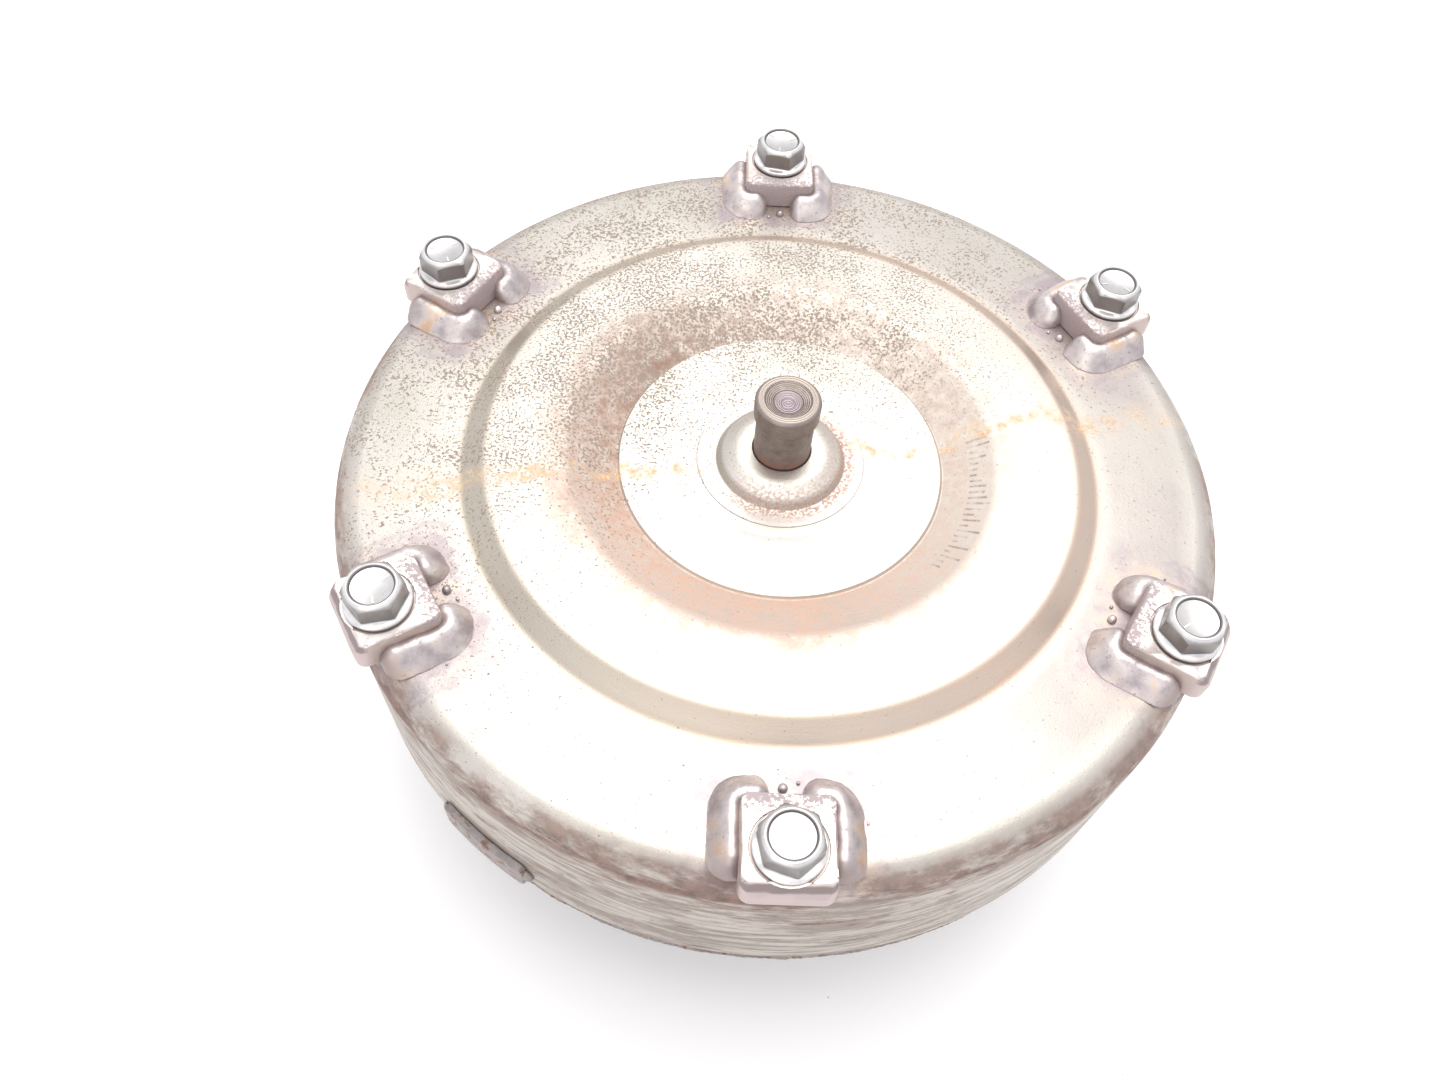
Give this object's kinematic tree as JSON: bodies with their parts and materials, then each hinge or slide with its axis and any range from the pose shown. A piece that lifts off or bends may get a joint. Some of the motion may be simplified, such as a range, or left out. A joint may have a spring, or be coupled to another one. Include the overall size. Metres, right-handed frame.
{
  "type": "torque converter",
  "caption": "Welded automotive torque converter with lock-up clutch: dished front cover, pilot, flexplate lugs with bolts, and slotted pump hub.",
  "frame": {"origin": "on the axis, in the plane of the pump hub's end", "axes": "+Z along the axis towards the engine, -Y through the first mounting lug"},
  "size_m": [0.2514, 0.256, 0.149],
  "materials": {
    "pressed_steel": "bare pressed steel with light surface rust",
    "machined_steel": "fine turned",
    "forged_steel": "matt forged or blanked",
    "weld_steel": "as welded",
    "zinc_plate": "bright zinc plate",
    "spring_steel": "oiled",
    "cast_aluminium": "as cast",
    "seal_plastic": "satin",
    "friction_paper": "fibrous and matt"
  },
  "bodies": {
    "housing": {"front_cover": "pressed_steel", "crank_pilot": "machined_steel", "mounting_lug_1": "forged_steel", "mounting_lug_2": "forged_steel", "mounting_lug_3": "forged_steel", "mounting_lug_4": "forged_steel", "mounting_lug_5": "forged_steel", "mounting_lug_6": "forged_steel", "lug_weld_1": "weld_steel", "lug_weld_2": "weld_steel", "lug_weld_3": "weld_steel", "lug_weld_4": "weld_steel", "lug_weld_5": "weld_steel", "lug_weld_6": "weld_steel", "impeller_shell": "pressed_steel", "seam_weld": "weld_steel", "pump_drive_hub": "machined_steel", "hub_weld": "weld_steel", "balance_weight": "forged_steel", "impeller_blade_ring": "pressed_steel", "rear_bearing_lower_race": "machined_steel"},
    "turbine": {"turbine_shell": "pressed_steel", "turbine_blade_ring": "pressed_steel", "turbine_hub": "machined_steel", "turbine_rivet_1": "forged_steel", "turbine_rivet_2": "forged_steel", "turbine_rivet_3": "forged_steel", "turbine_rivet_4": "forged_steel", "turbine_rivet_5": "forged_steel", "turbine_rivet_6": "forged_steel", "damper_driven_plate": "forged_steel", "piston_seal_ring": "seal_plastic", "front_thrust_washer": "seal_plastic", "front_bearing_upper_race": "machined_steel", "damper_spring_1": "spring_steel", "damper_spring_2": "spring_steel", "damper_spring_3": "spring_steel", "damper_spring_4": "spring_steel", "damper_spring_5": "spring_steel", "damper_spring_6": "spring_steel"},
    "damper_drive": {"damper_input_plate": "forged_steel"},
    "lockup_piston": {"lockup_piston": "pressed_steel", "lockup_friction_facing": "friction_paper"},
    "reaction_race": {"one_way_inner_race": "machined_steel"},
    "stator": {"stator_wheel": "cast_aluminium", "one_way_outer_race": "machined_steel", "sprag_ring": "spring_steel", "stator_rear_plate": "cast_aluminium", "stator_front_plate": "cast_aluminium", "rear_bearing_upper_race": "machined_steel", "rear_bearing_needle_cage": "spring_steel", "front_bearing_lower_race": "machined_steel", "front_bearing_needle_cage": "spring_steel"},
    "bolt_1": {"flexplate_bolt_1": "zinc_plate"},
    "bolt_2": {"flexplate_bolt_2": "zinc_plate"},
    "bolt_3": {"flexplate_bolt_3": "zinc_plate"},
    "bolt_4": {"flexplate_bolt_4": "zinc_plate"},
    "bolt_5": {"flexplate_bolt_5": "zinc_plate"},
    "bolt_6": {"flexplate_bolt_6": "zinc_plate"}
  },
  "joints": [
    {"name": "turbine_spin", "type": "hinge", "parent": "housing", "child": "turbine", "pos_m": [0, 0, 0.07], "axis": [0, 0, 1], "continuous": true},
    {"name": "damper_twist", "type": "hinge", "parent": "turbine", "child": "damper_drive", "pos_m": [0, 0, 0.07], "axis": [0, 0, 1], "range_deg": [-6, 6], "stiffness_Nm_per_rad": 300, "deforming": ["damper_spring_1", "damper_spring_2", "damper_spring_3", "damper_spring_4", "damper_spring_5", "damper_spring_6"]},
    {"name": "lockup_apply", "type": "slide", "parent": "damper_drive", "child": "lockup_piston", "axis": [0, 0, 1], "range_m": [0, 0.0014]},
    {"name": "reaction_race_spin", "type": "hinge", "parent": "housing", "child": "reaction_race", "pos_m": [0, 0, 0.07], "axis": [0, 0, 1], "continuous": true},
    {"name": "stator_freewheel", "type": "hinge", "parent": "reaction_race", "child": "stator", "pos_m": [0, 0, 0.07], "axis": [0, 0, 1], "range_deg": [-360, 0]},
    {"name": "bolt_1_unscrew", "type": "slide", "parent": "housing", "child": "bolt_1", "axis": [0, 0, 1], "range_m": [0, 0.012]},
    {"name": "bolt_2_unscrew", "type": "slide", "parent": "housing", "child": "bolt_2", "axis": [0, 0, 1], "range_m": [0, 0.012]},
    {"name": "bolt_3_unscrew", "type": "slide", "parent": "housing", "child": "bolt_3", "axis": [0, 0, 1], "range_m": [0, 0.012]},
    {"name": "bolt_4_unscrew", "type": "slide", "parent": "housing", "child": "bolt_4", "axis": [0, 0, 1], "range_m": [0, 0.012]},
    {"name": "bolt_5_unscrew", "type": "slide", "parent": "housing", "child": "bolt_5", "axis": [0, 0, 1], "range_m": [0, 0.012]},
    {"name": "bolt_6_unscrew", "type": "slide", "parent": "housing", "child": "bolt_6", "axis": [0, 0, 1], "range_m": [0, 0.012]}
  ]
}
